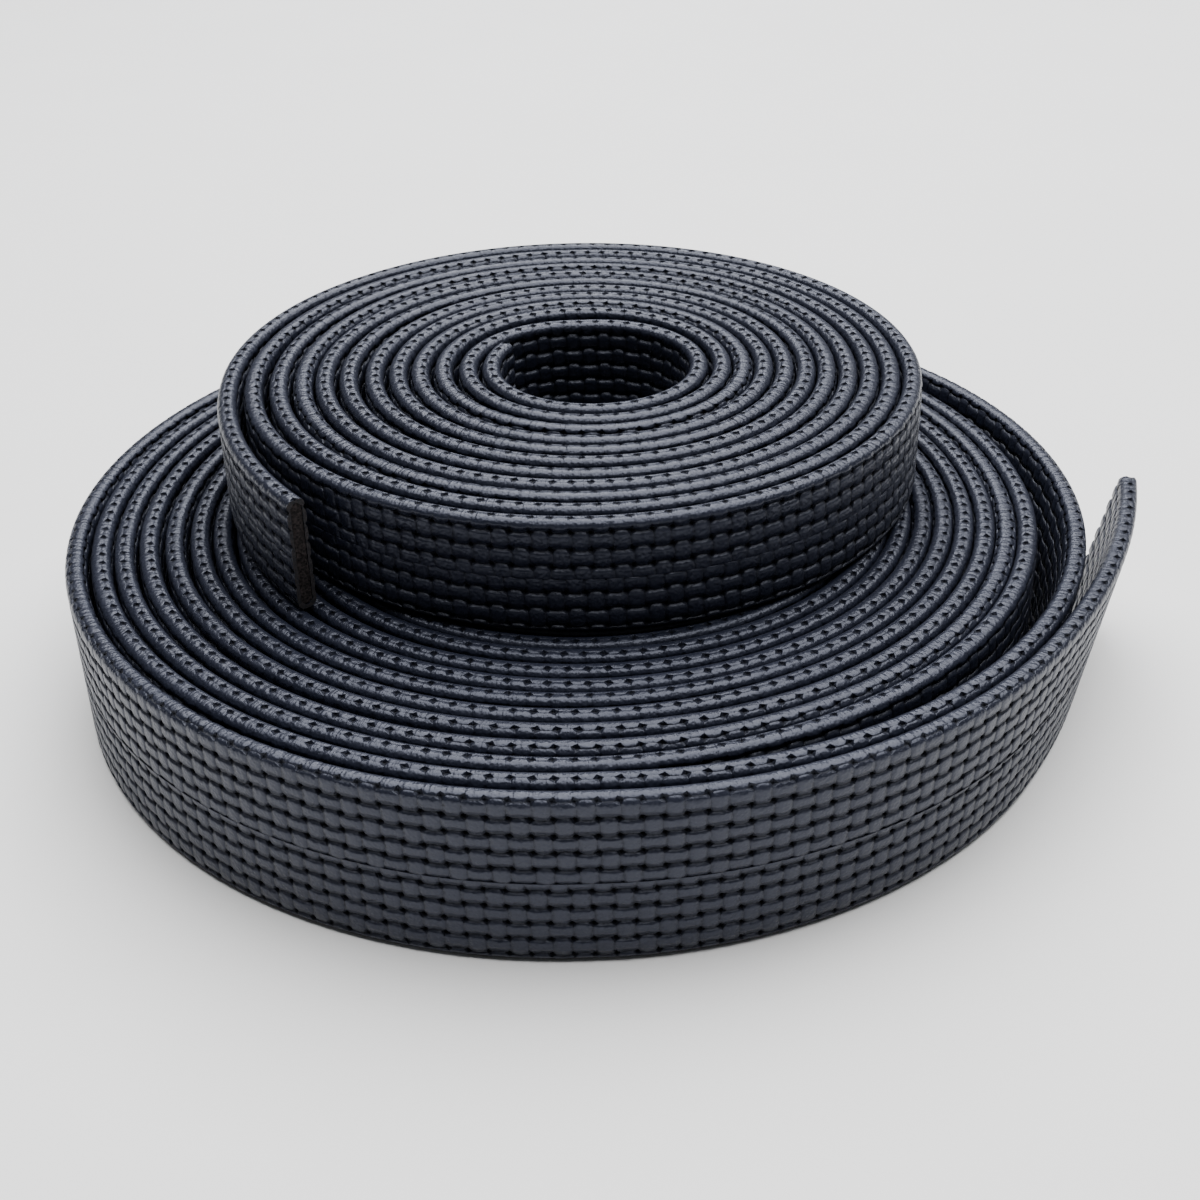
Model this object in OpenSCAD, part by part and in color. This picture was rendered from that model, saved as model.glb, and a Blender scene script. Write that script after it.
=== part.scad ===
// Two rolls of flat padded strap, a narrow roll lying on a wide one.
// Each strap is a foam core wrapped in an embossed cover whose edges butt
// together half way up the outer face. Millimetres, +Z up. The origin is on
// the wide roll's eye axis, in the plane that the roll lies on.

/* [Strap] */
// Thickness over the cover
strap_t = 3.5; // [3:0.1:3.5]
// Thickness of the cover
cover_t = 0.7; // [0.4:0.1:1]
// Width of the butt seam in the cover
seam_w = 0.2; // [0.1:0.1:0.6]
// Clearance between the cover and the core
core_gap = 0.04; // [0.02:0.01:0.1]

/* [Wide roll] */
// Width of the wide strap
lower_w = 30; // [20:1:50]
// Radius of the wide roll's eye
lower_eye_r = 19; // [16:0.5:25]
// Pitch of the turns where they lie tightest, on the right
lower_tight = 3.6; // [3.6:0.02:4]
// Pitch of the turns where they lie loosest, on the left
lower_loose = 4.2; // [4.1:0.02:4.6]
// How far the last turns stand off on the right
lower_bulge = 4.8; // [0:0.2:6]
// Length of the wide strap's loose end
lower_end_l = 64; // [30:1:70]

/* [Narrow roll] */
// Width of the narrow strap
upper_w = 20; // [15:1:40]
// Radius of the narrow roll's eye
upper_eye_r = 17; // [16:0.5:25]
// Pitch of the turns where they lie tightest, on the right
upper_tight = 3.74; // [3.6:0.02:4]
// Pitch of the turns where they lie loosest, on the left
upper_loose = 4.22; // [4.2:0.02:4.6]
// How far the narrow roll's eye lies behind the wide roll's
upper_back = 13.2; // [0:0.2:20]
// Length of the narrow strap's loose end
upper_end_l = 54; // [30:1:60]

/* [Hidden] */
$fn = 96;

cover_color = "#4a4d57";
core_color = "#322a2a";
rest_gap = 0.1;      // between the two rolls
hinge_gap = 0.2;     // round each loose end's knuckle
cut_over = 1;        // how far a cut runs past the strap
turn = 360;
half_turn = 180;
quarter = 90;

inner_end_a = 150;   // where each strap begins in its eye, degrees from +X
lower_end_a = 17 * turn + 320;
upper_end_a = 11 * turn + 180;
lower_halves = 32;   // half turns that follow the first two turns
upper_halves = 19;
bulge_turns = [17, 18];

// The slack on the left differs a little from turn to turn
slack_step = 137;
lower_slack = 0.25;
lower_slack_a = 20;
upper_slack = 0.3;
upper_slack_a = 70;

// Radius of the mid line of each loose end
lower_end_r = 145;
upper_end_r = 81;

upper_z = lower_w + rest_gap;

// A path winds anticlockwise and is a chain of arcs [centre, radius, from,
// to, run], each with a straight run before it. At a step [angle, growth,
// run] the path goes straight for the run, and then the radius grows while
// the centre moves back by as much, so that one arc is tangent to the next.
function dir(a) = [cos(a), sin(a)];

function chain(c, r, a, steps, end, run = 0, i = 0) =
    i >= len(steps) || steps[i][0] >= end ? [[c, r, a, end, run]] :
    let (s = steps[i],
         next = c - s[1] * dir(s[0]) + s[2] * dir(s[0] + quarter))
    concat([[c, r, a, s[0], run]],
           chain(next, r + s[1], s[0], steps, end, s[2], i + 1));

// Two steps that carry the second turn over the strap's inner end
function step_over(p) = [[turn + quarter, 0, p], [turn + half_turn, p, 0]];

// Half a pitch, to a hundredth
function half_pitch(p) = round(50 * p) / 100;

// One step each half turn: the right one sets the pitch on the left
function half_steps(n, tight, loose, slack, slack_a) =
    [for (k = [0 : n - 1])
        [2 * turn + half_turn * k,
         half_pitch(k % 2 == 0 ? loose + slack * sin(slack_step * k + slack_a) : tight), 0]];

// Straight runs at the front and the back, which push the right side out
function bulge_steps(n, run) =
    [[n * turn - quarter, 0, run], [n * turn + quarter, 0, run]];

// Steps in order of angle
function sorted(v) =
    len(v) <= 1 ? v :
    let (p = v[floor(len(v) / 2)][0])
    concat(sorted([for (s = v) if (s[0] < p) s]),
           [for (s = v) if (s[0] == p) s],
           sorted([for (s = v) if (s[0] > p) s]));

lower_steps = sorted(concat(
    step_over(lower_loose),
    half_steps(lower_halves, lower_tight, lower_loose, lower_slack, lower_slack_a),
    [for (n = bulge_turns) each bulge_steps(n, lower_bulge)]));
upper_steps = concat(
    step_over(upper_loose),
    half_steps(upper_halves, upper_tight, upper_loose, upper_slack, upper_slack_a));

lower_path = chain([0, 0], lower_eye_r + strap_t / 2, inner_end_a, lower_steps, lower_end_a);
upper_path = chain([0, upper_back], upper_eye_r + strap_t / 2, inner_end_a, upper_steps,
                   upper_end_a);

// Where a path ends, and the direction out from its last arc's centre
function last(v) = v[len(v) - 1];
function end_angle(path) = last(path)[3];
function end_point(path) = last(path)[0] + last(path)[1] * dir(end_angle(path));

// Sections across the strap: X runs from the inner to the outer face, Y is up
module strap_section(w, inset = 0) {
    translate([inset - strap_t / 2, inset])
        square([strap_t - 2 * inset, w - 2 * inset]);
}

module cover_section(w) {
    difference() {
        strap_section(w);
        strap_section(w, cover_t);
        translate([0, (w - seam_w) / 2]) square([strap_t, seam_w]);
    }
}

module core_section(w) {
    strap_section(w, cover_t + core_gap);
}

// Halves of the sections, which the knuckles are turned from
module half_section(w, inset = 0) {
    translate([0, inset]) square([strap_t / 2 - inset, w - 2 * inset]);
}

module cover_half(w) {
    difference() {
        half_section(w);
        half_section(w, cover_t);
    }
}

module core_half(w) {
    half_section(w, cover_t + core_gap);
}

// Sweep a section along one straight run and the arc after it
module sweep(piece) {
    translate(piece[0]) {
        rotate_extrude(start = piece[2] % turn, angle = piece[3] - piece[2])
            translate([piece[1], 0]) children();
        if (piece[4] > 0)
            rotate(piece[2]) translate([piece[1], 0])
                rotate([quarter, 0, 0]) linear_extrude(piece[4]) children();
    }
}

// A roll, with a round seat at its outer end for the loose end's knuckle
module rolled(path, w) {
    difference() {
        union() {
            for (piece = path) sweep(piece) children();
        }
        translate(concat(end_point(path), -cut_over))
            cylinder(r = strap_t / 2 + hinge_gap, h = w + 2 * cut_over);
    }
}

// A loose end: its section (child 0) swept on from the roll's outer end, and
// half its section (child 1) turned into a knuckle about the pivot
module loose_end(path, r, l) {
    translate(end_point(path))
        rotate(end_angle(path)) {
            translate([-r, 0])
                rotate_extrude(angle = l / r * half_turn / PI)
                    translate([r, 0]) children(0);
            rotate(half_turn) rotate_extrude(angle = half_turn) children(1);
        }
}

module lower_cover() {
    color(cover_color) rolled(lower_path, lower_w) cover_section(lower_w);
}

module lower_core() {
    color(core_color) rolled(lower_path, lower_w) core_section(lower_w);
}

module lower_end_cover() {
    color(cover_color) loose_end(lower_path, lower_end_r, lower_end_l) {
        cover_section(lower_w);
        cover_half(lower_w);
    }
}

module lower_end_core() {
    color(core_color) loose_end(lower_path, lower_end_r, lower_end_l) {
        core_section(lower_w);
        core_half(lower_w);
    }
}

module upper_cover() {
    color(cover_color) translate([0, 0, upper_z])
        rolled(upper_path, upper_w) cover_section(upper_w);
}

module upper_core() {
    color(core_color) translate([0, 0, upper_z])
        rolled(upper_path, upper_w) core_section(upper_w);
}

module upper_end_cover() {
    color(cover_color) translate([0, 0, upper_z])
        loose_end(upper_path, upper_end_r, upper_end_l) {
            cover_section(upper_w);
            cover_half(upper_w);
        }
}

module upper_end_core() {
    color(core_color) translate([0, 0, upper_z])
        loose_end(upper_path, upper_end_r, upper_end_l) {
            core_section(upper_w);
            core_half(upper_w);
        }
}

lower_cover();
lower_core();
lower_end_cover();
lower_end_core();
upper_cover();
upper_core();
upper_end_cover();
upper_end_core();
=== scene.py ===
"""Looks for two rolls of padded strap, a narrow roll that lies on a wide one.

Each strap is a foam core in an embossed faux-leather cover. The cover is one sheet,
folded round the core, and its two long edges butt half way up the strap's outer face.
All lengths are in metres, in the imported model's own frame, and angles are in degrees.
"""

import logging
import math
from dataclasses import dataclass
from enum import Enum
from functools import partial

import bpy
from mathutils import Matrix, Vector


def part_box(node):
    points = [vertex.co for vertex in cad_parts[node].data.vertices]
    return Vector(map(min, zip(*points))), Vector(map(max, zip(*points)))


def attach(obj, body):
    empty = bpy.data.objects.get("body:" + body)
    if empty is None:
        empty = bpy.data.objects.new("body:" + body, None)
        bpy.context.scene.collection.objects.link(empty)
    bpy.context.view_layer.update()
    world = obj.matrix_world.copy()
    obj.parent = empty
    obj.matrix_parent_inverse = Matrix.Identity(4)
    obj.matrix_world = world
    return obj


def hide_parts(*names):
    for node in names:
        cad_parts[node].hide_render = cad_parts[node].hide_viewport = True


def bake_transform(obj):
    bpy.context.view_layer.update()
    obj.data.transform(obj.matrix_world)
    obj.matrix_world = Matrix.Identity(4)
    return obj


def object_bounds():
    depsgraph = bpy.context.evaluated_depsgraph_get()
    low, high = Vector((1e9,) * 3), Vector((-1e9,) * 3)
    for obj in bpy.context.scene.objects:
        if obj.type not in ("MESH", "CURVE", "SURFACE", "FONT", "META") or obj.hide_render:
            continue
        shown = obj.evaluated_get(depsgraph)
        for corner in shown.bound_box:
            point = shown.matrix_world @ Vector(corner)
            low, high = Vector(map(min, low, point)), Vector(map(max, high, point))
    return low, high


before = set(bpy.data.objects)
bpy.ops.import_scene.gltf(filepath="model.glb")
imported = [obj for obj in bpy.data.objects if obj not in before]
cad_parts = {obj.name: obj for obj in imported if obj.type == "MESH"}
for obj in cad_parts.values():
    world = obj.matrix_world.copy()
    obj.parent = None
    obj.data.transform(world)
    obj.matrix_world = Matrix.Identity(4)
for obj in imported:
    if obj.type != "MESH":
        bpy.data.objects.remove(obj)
cad_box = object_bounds()
log = logging.getLogger("strap_rolls")

MM = 0.001
TURN = 360.0
QUARTER = TURN / 4
TINY = 1e-9
# Nearly all of a noise texture's values lie between these two
NOISE_RANGE = (0.3, 0.7)

MATH = "ShaderNodeMath"
VECTOR_MATH = "ShaderNodeVectorMath"
NOISE = "ShaderNodeTexNoise"
READ = "GeometryNodeInputNamedAttribute"
STORE = "GeometryNodeStoreNamedAttribute"

# Attributes that a section or a path carries into the node trees
SHEET = "sheet"
SKEW = "skew"
RELIEF = "relief"
FACING = "facing"
ALONG = "along"
OUTWARDS = "outwards"
SCALE = "scale"
CUT = "cut"
HEADING = "heading"
LEAN = "lean"
CARRIED = (SHEET, SKEW, RELIEF, FACING, ALONG, OUTWARDS, SCALE, CUT, HEADING, LEAN)
# The attribute that the cover's material reads: cells along, rows across, relief
WEAVE = "weave"


# --------------------------------------------------------------------------
# Small helpers
# --------------------------------------------------------------------------


def linear(hex_code: str, alpha: float = 1.0) -> tuple[float, float, float, float]:
    """Turns an sRGB hex colour into linear light.

    Args:
        hex_code: Six hex digits, with or without a leading hash.
        alpha: The fourth channel.

    Returns:
        Red, green, blue and alpha, from 0 to 1.
    """
    digits = hex_code.lstrip("#")
    channels = [int(digits[i : i + 2], 16) / 255 for i in (0, 2, 4)]
    light = [c / 12.92 if c <= 0.04045 else ((c + 0.055) / 1.055) ** 2.4 for c in channels]
    return (*light, alpha)


def add_node(
    tree: bpy.types.NodeTree,
    kind: str,
    *values: object,
    named: dict[str, object] | None = None,
    **settings: object,
) -> bpy.types.Node:
    """Adds a node to a tree with its settings, its values and its links.

    Args:
        tree: The node tree.
        kind: The node's type.
        values: Its inputs in order. A node or a socket is linked, anything else is
            set as a value, and None leaves the input as it is.
        named: More inputs, by name.
        settings: The node's own properties.

    Returns:
        The new node.
    """
    node = tree.nodes.new(kind)
    for name, value in settings.items():
        setattr(node, name, value)
    wanted = list(zip(node.inputs, values))
    wanted += [(node.inputs[name], value) for name, value in (named or {}).items()]
    for socket, value in wanted:
        if value is None:
            continue
        if isinstance(value, bpy.types.Node):
            value = next(output for output in value.outputs if output.enabled)
        if isinstance(value, bpy.types.NodeSocket):
            tree.links.new(value, socket)
        else:
            socket.default_value = value
    return node


def add_inputs(tree: bpy.types.NodeTree, **kinds: str) -> bpy.types.Node:
    """Gives a geometry tree its named inputs and its one output.

    Args:
        tree: The geometry node tree.
        kinds: Each input's name, with underscores for spaces, and its socket type.

    Returns:
        The tree's group input node.
    """
    for name, kind in kinds.items():
        tree.interface.new_socket(
            name=name.replace("_", " "), in_out="INPUT", socket_type="NodeSocket" + kind
        )
    tree.interface.new_socket(name="Mesh", in_out="OUTPUT", socket_type="NodeSocketGeometry")
    return tree.nodes.new("NodeGroupInput")


def chain_mesh(name: str, points: list[Vector], closed: bool = False) -> bpy.types.Mesh:
    """Makes a mesh of points joined one to the next.

    Args:
        name: The mesh's name.
        points: The points in order.
        closed: True joins the last point to the first.

    Returns:
        A mesh with edges and no faces.
    """
    edges = [(i, i + 1) for i in range(len(points) - 1)]
    if closed:
        edges.append((len(points) - 1, 0))
    mesh = bpy.data.meshes.new(name)
    mesh.from_pydata([p.to_3d() for p in points], edges, [])
    return mesh


def swept_outline(name: str, points: list[Vector]) -> bpy.types.Mesh:
    """Makes a closed outline for Curve to Mesh, which lays its Y downwards.

    Args:
        name: The outline's name.
        points: Its points, anticlockwise, with Y up.

    Returns:
        The mirrored outline, in the reverse order, so that its faces look outwards.
    """
    return chain_mesh(name, [Vector((p.x, -p.y)) for p in reversed(points)], closed=True)


def store_floats(mesh: bpy.types.Mesh, name: str, values: list[float]) -> None:
    """Stores one number for each point of a mesh."""
    mesh.attributes.new(name, "FLOAT", "POINT").data.foreach_set("value", values)


def run_tree(
    name: str,
    mesh: bpy.types.Mesh,
    tree: bpy.types.NodeTree,
    inputs: dict[str, object],
) -> bpy.types.Object:
    """Runs a geometry tree on a mesh and keeps what it makes as a plain mesh.

    Args:
        name: The new piece's name.
        mesh: What the tree starts from.
        tree: The geometry node tree.
        inputs: The values of the tree's inputs, by name.

    Returns:
        The piece, at the origin and with no modifier.
    """
    piece = bpy.data.objects.new(name, mesh)
    bpy.context.scene.collection.objects.link(piece)
    modifier = piece.modifiers.new(tree.name, "NODES")
    modifier.node_group = tree
    for socket in tree.interface.items_tree:
        if socket.in_out == "INPUT" and socket.name in inputs:
            modifier[socket.identifier] = inputs[socket.name]
    grown = piece.evaluated_get(bpy.context.evaluated_depsgraph_get())
    made = bpy.data.meshes.new_from_object(grown)
    piece.modifiers.clear()
    piece.data = made
    made.name = name
    bpy.data.meshes.remove(mesh)
    for spent in CARRIED:
        if spent in made.attributes:
            made.attributes.remove(made.attributes[spent])
    return piece


def new_material(name: str) -> tuple[bpy.types.Material, partial]:
    """Makes an empty material.

    Args:
        name: The material's name, which says what the real one is.

    Returns:
        The material, and a function that adds nodes to it.
    """
    material = bpy.data.materials.new(name)
    material.use_nodes = True
    material.node_tree.nodes.clear()
    return material, partial(add_node, material.node_tree)


# --------------------------------------------------------------------------
# The basket weave's relief, which the meshes and the material share
# --------------------------------------------------------------------------


@dataclass(frozen=True)
class BasketWeave:
    """An embossed basket weave: cells in rows, every other one wide, the rest tall."""

    cell: float = 3.05 * MM
    bulge: float = 0.085  # how far a wide cell's sides swell, as a share of a cell
    roundness: float = 4.0  # power of a cell's crown: higher is flatter on top
    ends: float = 0.4  # depth of the grooves between a row's cells, as a share
    pit_reach: float = 0.70  # where a corner pit begins, from a cell's middle at 0
    groove_depth: float = 0.22 * MM
    pit_depth: float = 0.34 * MM
    folded_pit: float = 0.7  # share of a pit's depth that is left on a folded edge
    drift: float = 0.9 * MM  # how far the rows wander across the strap
    drift_span: float = 340.0 * MM  # length of strap over which they wander

    def pit_share(self, tree: bpy.types.NodeTree, relief: object) -> bpy.types.Node:
        """Adds the node that works out how much of a pit's depth the relief leaves."""
        fold, left = 1.0 - self.folded_pit, self.folded_pit
        return add_node(tree, MATH, relief, fold, left, operation="MULTIPLY_ADD")

    def depths(
        self, tree: bpy.types.NodeTree, along: object, across: object
    ) -> tuple[bpy.types.Node, bpy.types.Node]:
        """Adds the nodes that work out the relief from a place in the weave.

        The grooves run where the bent coordinates are whole numbers. Bending each
        one by a product of sines makes cells wide and tall by turns, like a chessboard.

        Args:
            tree: A geometry or a shader tree.
            along: Socket with the place along the strap, in cells.
            across: Socket with the place across the strap, in rows.

        Returns:
            Two nodes: how deep in a groove the place is, and how deep in a pit,
            each from 0 to 1.
        """
        add = partial(add_node, tree)
        along_angle = add(MATH, along, math.pi, operation="MULTIPLY")
        across_angle = add(MATH, across, math.pi, operation="MULTIPLY")
        edges = []
        for place, own, other, bend in (
            (along, along_angle, across_angle, self.bulge),
            (across, across_angle, along_angle, -self.bulge),
        ):
            cosine = add(MATH, own, operation="COSINE")
            sine = add(MATH, other, operation="SINE")
            swell = add(MATH, cosine, sine, operation="MULTIPLY")
            bent = add(MATH, swell, bend, place, operation="MULTIPLY_ADD")
            share = add(MATH, bent, operation="FRACT")
            centred = add(MATH, share, 2.0, -1.0, operation="MULTIPLY_ADD")
            edges.append(add(MATH, centred, operation="ABSOLUTE"))
        crowns = []
        for edge, depth in zip(edges, (self.ends, 1.0)):
            power = add(MATH, edge, self.roundness, operation="POWER")
            crowns.append(add(MATH, power, -depth, 1.0, operation="MULTIPLY_ADD"))
        crown = add(MATH, *crowns, operation="MULTIPLY")
        groove = add(MATH, 1.0, crown, operation="SUBTRACT")
        both = add(MATH, *edges, operation="ADD")
        corner = add(MATH, both, 0.5, operation="MULTIPLY")
        pit = add(
            "ShaderNodeMapRange",
            corner,
            self.pit_reach,
            interpolation_type="SMOOTHSTEP",
        )
        return groove, pit


# --------------------------------------------------------------------------
# Finishes
# --------------------------------------------------------------------------


@dataclass(frozen=True)
class EmbossedFauxLeather:
    """Polyurethane-coated cloth, embossed with a hot roller.

    The coat gives a satin surface with broad soft highlights. The roller leaves the
    crowns of the cells a little smoother than the grooves. The grooves are painted
    darker and the pits nearly black, and the pits' reflection is painted out: all
    this is painted shade, for the shadow in the hollows of the relief.
    """

    weave: BasketWeave
    crown: str = "#1a1d29"
    # The groove and pit colours are painted shade, darker than the crown where shadow falls into
    # the relief
    groove: str = "#12141c"
    pit: str = "#030305"
    roughness: float = 0.38
    groove_roughness: float = 0.60
    pit_roughness: float = 0.9
    tint: str = "#e2e7fa"
    ior: float = 1.5
    pit_shade: tuple[float, float] = (0.38, 0.80)  # depths between which a pit darkens with painted shade
    relief: float = 1.3 * MM
    groove_share: float = 0.5  # of the relief, for a groove against a pit
    # The real grain is about 0.15 mm, too fine to show, so it is drawn at 0.5 mm
    grain: float = 0.5 * MM
    grain_relief: float = 0.10 * MM
    crease: float = 0.9 * MM  # spacing of the fine ridges across a fold
    crease_change: float = 0.35  # how fast the ridges change across the strap, in rows
    crease_relief: float = 0.30 * MM
    mottle: float = 9.0 * MM
    mottle_value: tuple[float, float] = (0.9, 1.08)
    mottle_roughness: tuple[float, float] = (-0.04, 0.04)

    def material(self) -> bpy.types.Material:
        """Builds the cover's material, which reads the weave attribute.

        Returns:
            The material.
        """
        material, add = new_material("embossed_faux_leather")
        tree = material.node_tree
        attribute = add("ShaderNodeAttribute", attribute_name=WEAVE)
        place = add("ShaderNodeSeparateXYZ", attribute.outputs["Vector"])
        along, across, relief = place.outputs
        groove, pit = self.weave.depths(tree, along, across)
        shallow = add(MATH, groove, relief, operation="MULTIPLY")
        deep = add(MATH, pit, self.weave.pit_share(tree, relief), operation="MULTIPLY")

        body = add("ShaderNodeTexCoord").outputs["Object"]
        mottle = add(NOISE, body, named={"Scale": 1 / self.mottle, "Detail": 3.0})
        grain = add(
            "ShaderNodeTexVoronoi",
            body,
            named={"Scale": 1 / self.grain},
            feature="SMOOTH_F1",
        )
        # Ridges that run across the strap: long across it, short along it
        stretch = add(
            "ShaderNodeCombineXYZ",
            add(MATH, along, self.weave.cell / self.crease, operation="MULTIPLY"),
            add(MATH, across, self.crease_change, operation="MULTIPLY"),
        )
        crease = add(NOISE, stretch, named={"Scale": 1.0, "Detail": 2.0})
        fold = add(MATH, 1.0, relief, operation="SUBTRACT")
        crease_height = add(MATH, crease, fold, operation="MULTIPLY")

        # Painted shade: the grooves are coloured darker than the crowns
        groove_painted_shade = add(
            "ShaderNodeMix",
            named={"Factor": shallow},
            data_type="RGBA",
        )
        groove_painted_shade.inputs[6].default_value = linear(self.crown)
        groove_painted_shade.inputs[7].default_value = linear(self.groove)
        # Painted shade: the pits are coloured nearly black, more so the deeper they are
        dark = add("ShaderNodeMapRange", deep, *self.pit_shade)
        pit_painted_shade = add("ShaderNodeMix", dark, data_type="RGBA")
        tree.links.new(groove_painted_shade.outputs[2], pit_painted_shade.inputs[6])
        pit_painted_shade.inputs[7].default_value = linear(self.pit)
        # Painted shade: in the pits the specular tint goes to nearly black, so they lose their
        # reflection
        tint_with_painted_pit_shade = add("ShaderNodeMix", dark, data_type="RGBA")
        tint_with_painted_pit_shade.inputs[6].default_value = linear(self.tint)
        tint_with_painted_pit_shade.inputs[7].default_value = linear(self.pit)
        shade = add("ShaderNodeMapRange", mottle, *NOISE_RANGE, *self.mottle_value)
        colour = add("ShaderNodeHueSaturation", named={"Value": shade})
        tree.links.new(pit_painted_shade.outputs[2], colour.inputs["Color"])

        smear = add("ShaderNodeMapRange", mottle, *NOISE_RANGE, *self.mottle_roughness)
        rough = add(
            "ShaderNodeMapRange", shallow, 0.0, 1.0, self.roughness, self.groove_roughness
        )
        rough = add("ShaderNodeMapRange", dark, 0.0, 1.0, rough, self.pit_roughness)
        roughness = add(MATH, rough, smear, operation="ADD")

        depth = add(MATH, shallow, self.groove_share, deep, operation="MULTIPLY_ADD")
        height = add(MATH, 1.0, depth, operation="SUBTRACT")
        weave_bump = add(
            "ShaderNodeBump", named={"Height": height, "Distance": self.relief}
        )
        crease_bump = add(
            "ShaderNodeBump",
            named={
                "Height": crease_height,
                "Distance": self.crease_relief,
                "Normal": weave_bump,
            },
        )
        grain_bump = add(
            "ShaderNodeBump",
            named={
                "Height": grain.outputs["Distance"],
                "Distance": self.grain_relief,
                "Normal": crease_bump,
            },
        )
        shader = add(
            "ShaderNodeBsdfPrincipled",
            named={
                "Base Color": colour,
                "Roughness": roughness,
                "IOR": self.ior,
                "Specular Tint": tint_with_painted_pit_shade.outputs[2],
                "Normal": grain_bump,
            },
        )
        add("ShaderNodeOutputMaterial", shader)
        return material


@dataclass(frozen=True)
class CutSheet:
    """The knife-cut edge of the cover's sheet: a film on a fine knitted backing."""

    film: str = "#202126"
    backing: str = "#3a3536"
    roughness: float = 0.8
    ior: float = 1.5
    stitch: float = 0.4 * MM  # spacing of the knitted loops
    spread: tuple[float, float] = (0.38, 0.66)  # noise that is all film, all backing
    relief: float = 0.05 * MM

    def material(self) -> bpy.types.Material:
        """Builds the material of the sheet's cut edge.

        Returns:
            The material.
        """
        material, add = new_material("cut_faux_leather")
        body = add("ShaderNodeTexCoord").outputs["Object"]
        knit = add(NOISE, body, named={"Scale": 1 / self.stitch, "Detail": 4.0})
        ramp = add("ShaderNodeValToRGB", knit)
        for element, place, colour in zip(
            ramp.color_ramp.elements, self.spread, (self.film, self.backing)
        ):
            element.position = place
            element.color = linear(colour)
        bump = add("ShaderNodeBump", named={"Height": knit, "Distance": self.relief})
        shader = add(
            "ShaderNodeBsdfPrincipled",
            named={
                "Base Color": ramp,
                "Roughness": self.roughness,
                "IOR": self.ior,
                "Normal": bump,
            },
        )
        add("ShaderNodeOutputMaterial", shader)
        return material


@dataclass(frozen=True)
class OpenCellFoam:
    """Open-cell polyurethane foam, cut with a knife.

    Cut cells give a matt, crumbly face of small hollows between struts, and the
    hollows are painted darker than the struts as painted shade.
    """

    # The hollows' darker colour is painted shade
    hollow: str = "#0f0c0c"
    strut: str = "#3b3333"
    roughness: float = 0.95
    ior: float = 1.45
    cell: float = 0.45 * MM  # about 56 cells to the inch
    crumb: float = 0.75 * MM
    spread: tuple[float, float] = (0.12, 0.46)  # heights that are all hollow, all strut
    relief: float = 0.16 * MM

    def material(self) -> bpy.types.Material:
        """Builds the core's material.

        Returns:
            The material.
        """
        material, add = new_material("open_cell_foam")
        body = add("ShaderNodeTexCoord").outputs["Object"]
        cells = add(
            "ShaderNodeTexVoronoi", body, named={"Scale": 1 / self.cell, "Randomness": 1.0}
        )
        crumbs = add(NOISE, body, named={"Scale": 1 / self.crumb, "Detail": 4.0})
        height = add(MATH, cells.outputs["Distance"], crumbs, operation="MULTIPLY")
        # Painted shade: the low places of the height, the hollows, are coloured darker
        ramp = add("ShaderNodeValToRGB", height)
        for element, place, colour in zip(
            ramp.color_ramp.elements, self.spread, (self.hollow, self.strut)
        ):
            element.position = place
            element.color = linear(colour)
        bump = add("ShaderNodeBump", named={"Height": height, "Distance": self.relief})
        shader = add(
            "ShaderNodeBsdfPrincipled",
            named={
                "Base Color": ramp,
                "Roughness": self.roughness,
                "IOR": self.ior,
                "Normal": bump,
            },
        )
        add("ShaderNodeOutputMaterial", shader)
        return material


@dataclass(frozen=True)
class PaintedBoard:
    """A sheet of white-painted board, with the faint unevenness of a roller."""

    light: str = "#f6f6f6"
    shade: str = "#f1f1f1"
    roughness: float = 0.6
    patch: float = 60.0 * MM

    def material(self) -> bpy.types.Material:
        """Builds the floor's material.

        Returns:
            The material.
        """
        material, add = new_material("white_painted_board")
        body = add("ShaderNodeTexCoord").outputs["Object"]
        noise = add(NOISE, body, named={"Scale": 1 / self.patch, "Detail": 2.0})
        ramp = add("ShaderNodeValToRGB", noise)
        ramp.color_ramp.elements[0].color = linear(self.shade)
        ramp.color_ramp.elements[1].color = linear(self.light)
        shader = add(
            "ShaderNodeBsdfPrincipled",
            named={"Base Color": ramp, "Roughness": self.roughness},
        )
        add("ShaderNodeOutputMaterial", shader)
        return material


# --------------------------------------------------------------------------
# The path of a strap
# --------------------------------------------------------------------------


@dataclass(frozen=True)
class Arc:
    """One anticlockwise arc of a strap's mid line, and the straight run before it."""

    centre: Vector
    radius: float
    start: float
    end: float
    run: float = 0.0

    @property
    def length(self) -> float:
        """Length of the run and the arc."""
        return self.run + self.radius * math.radians(self.end - self.start)

    def at(self, along: float) -> tuple[Vector, Vector]:
        """Finds a place on the run or the arc.

        Args:
            along: Distance from the start of the run.

        Returns:
            The point, and the unit vector to the strap's outer face.
        """
        angle = math.radians(self.start) + max(0.0, along - self.run) / self.radius
        out = Vector((math.cos(angle), math.sin(angle)))
        back = min(0.0, along - self.run)
        return self.centre + self.radius * out + back * Vector((-out.y, out.x)), out


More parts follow.
